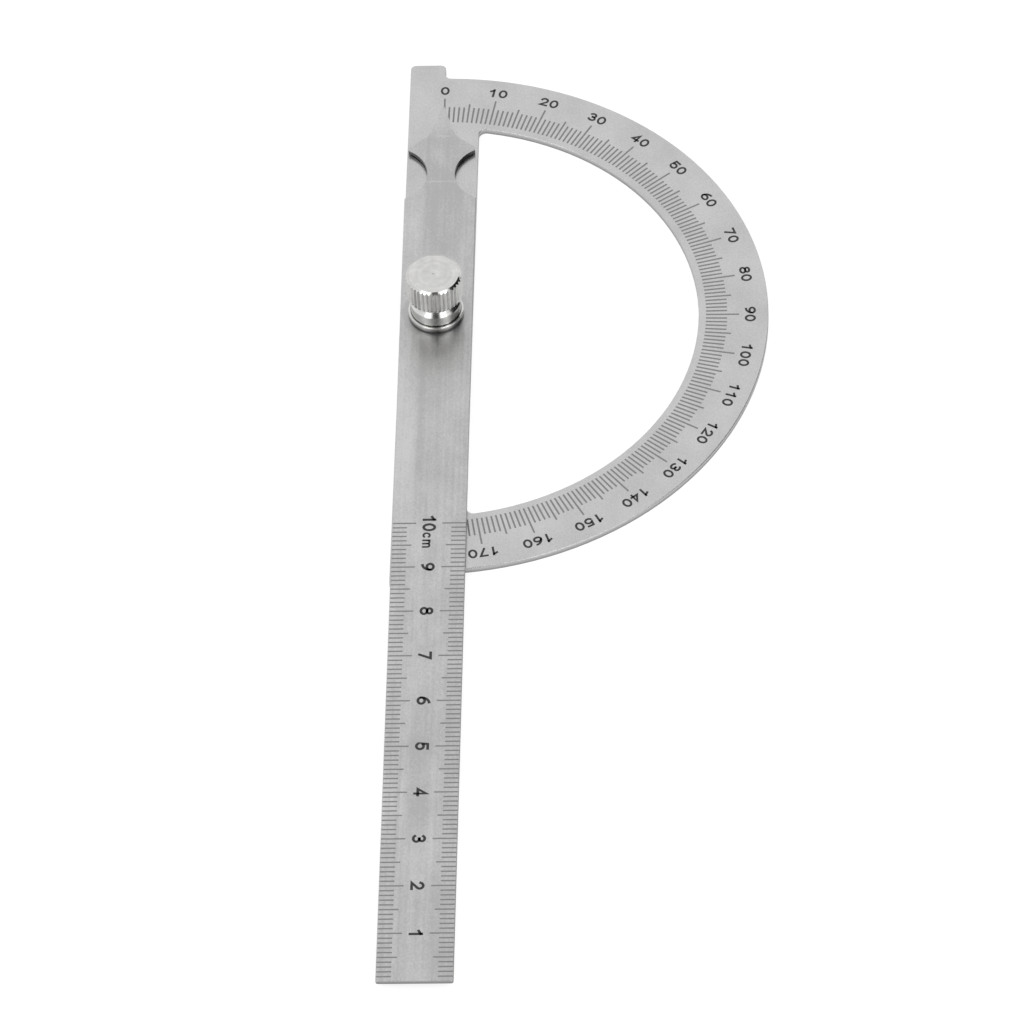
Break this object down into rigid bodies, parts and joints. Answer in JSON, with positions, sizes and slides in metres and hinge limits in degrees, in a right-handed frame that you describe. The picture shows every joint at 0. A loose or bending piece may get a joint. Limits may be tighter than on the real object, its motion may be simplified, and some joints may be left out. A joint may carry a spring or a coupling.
{
  "type": "protractor",
  "caption": "Flat steel half-circle protractor dial with a rule arm that turns over it on a central pivot, ends in a pointer and is held by a knurled clamp knob.",
  "frame": {"origin": "on the pivot's axis, at the flat back of the dial plate", "axes": "+Z out of the back, along the pivot towards the knob; +Y towards the dial's 0 mark, along the straight bar; +X towards the dial's 90 mark"},
  "size_m": [0.0662, 0.2127, 0.0127],
  "materials": {
    "plate_steel": "satin stainless sheet with fine brushing",
    "arm_steel": "satin stainless strip with fine brushing",
    "stud_steel": "plain turned steel",
    "knob_nickel": "bright nickel plate over turned metal",
    "graduation_black": "matte black etched marks"
  },
  "bodies": {
    "dial": {"protractor_plate": "plate_steel", "pivot_stud": "stud_steel", "spacer_washer": "stud_steel"},
    "arm": {"rule_arm": "arm_steel"},
    "washer": {"clamp_washer": "knob_nickel"},
    "knob": {"clamp_knob": "knob_nickel"}
  },
  "joints": [
    {"name": "arm_swing", "type": "hinge", "parent": "dial", "child": "arm", "pos_m": [0, 0, 0.002], "axis": [0, 0, 1], "continuous": true},
    {"name": "knob_lift", "type": "slide", "parent": "dial", "child": "washer", "axis": [0, 0, 1], "range_m": [0, 0.0048]},
    {"name": "knob_turn", "type": "hinge", "parent": "washer", "child": "knob", "pos_m": [0, 0, 0.005], "axis": [0, 0, 1], "range_deg": [0, 2160]}
  ],
  "couplings": [
    {"joint": "knob_turn", "follows": "knob_lift", "rad_per_m": 7854}
  ]
}
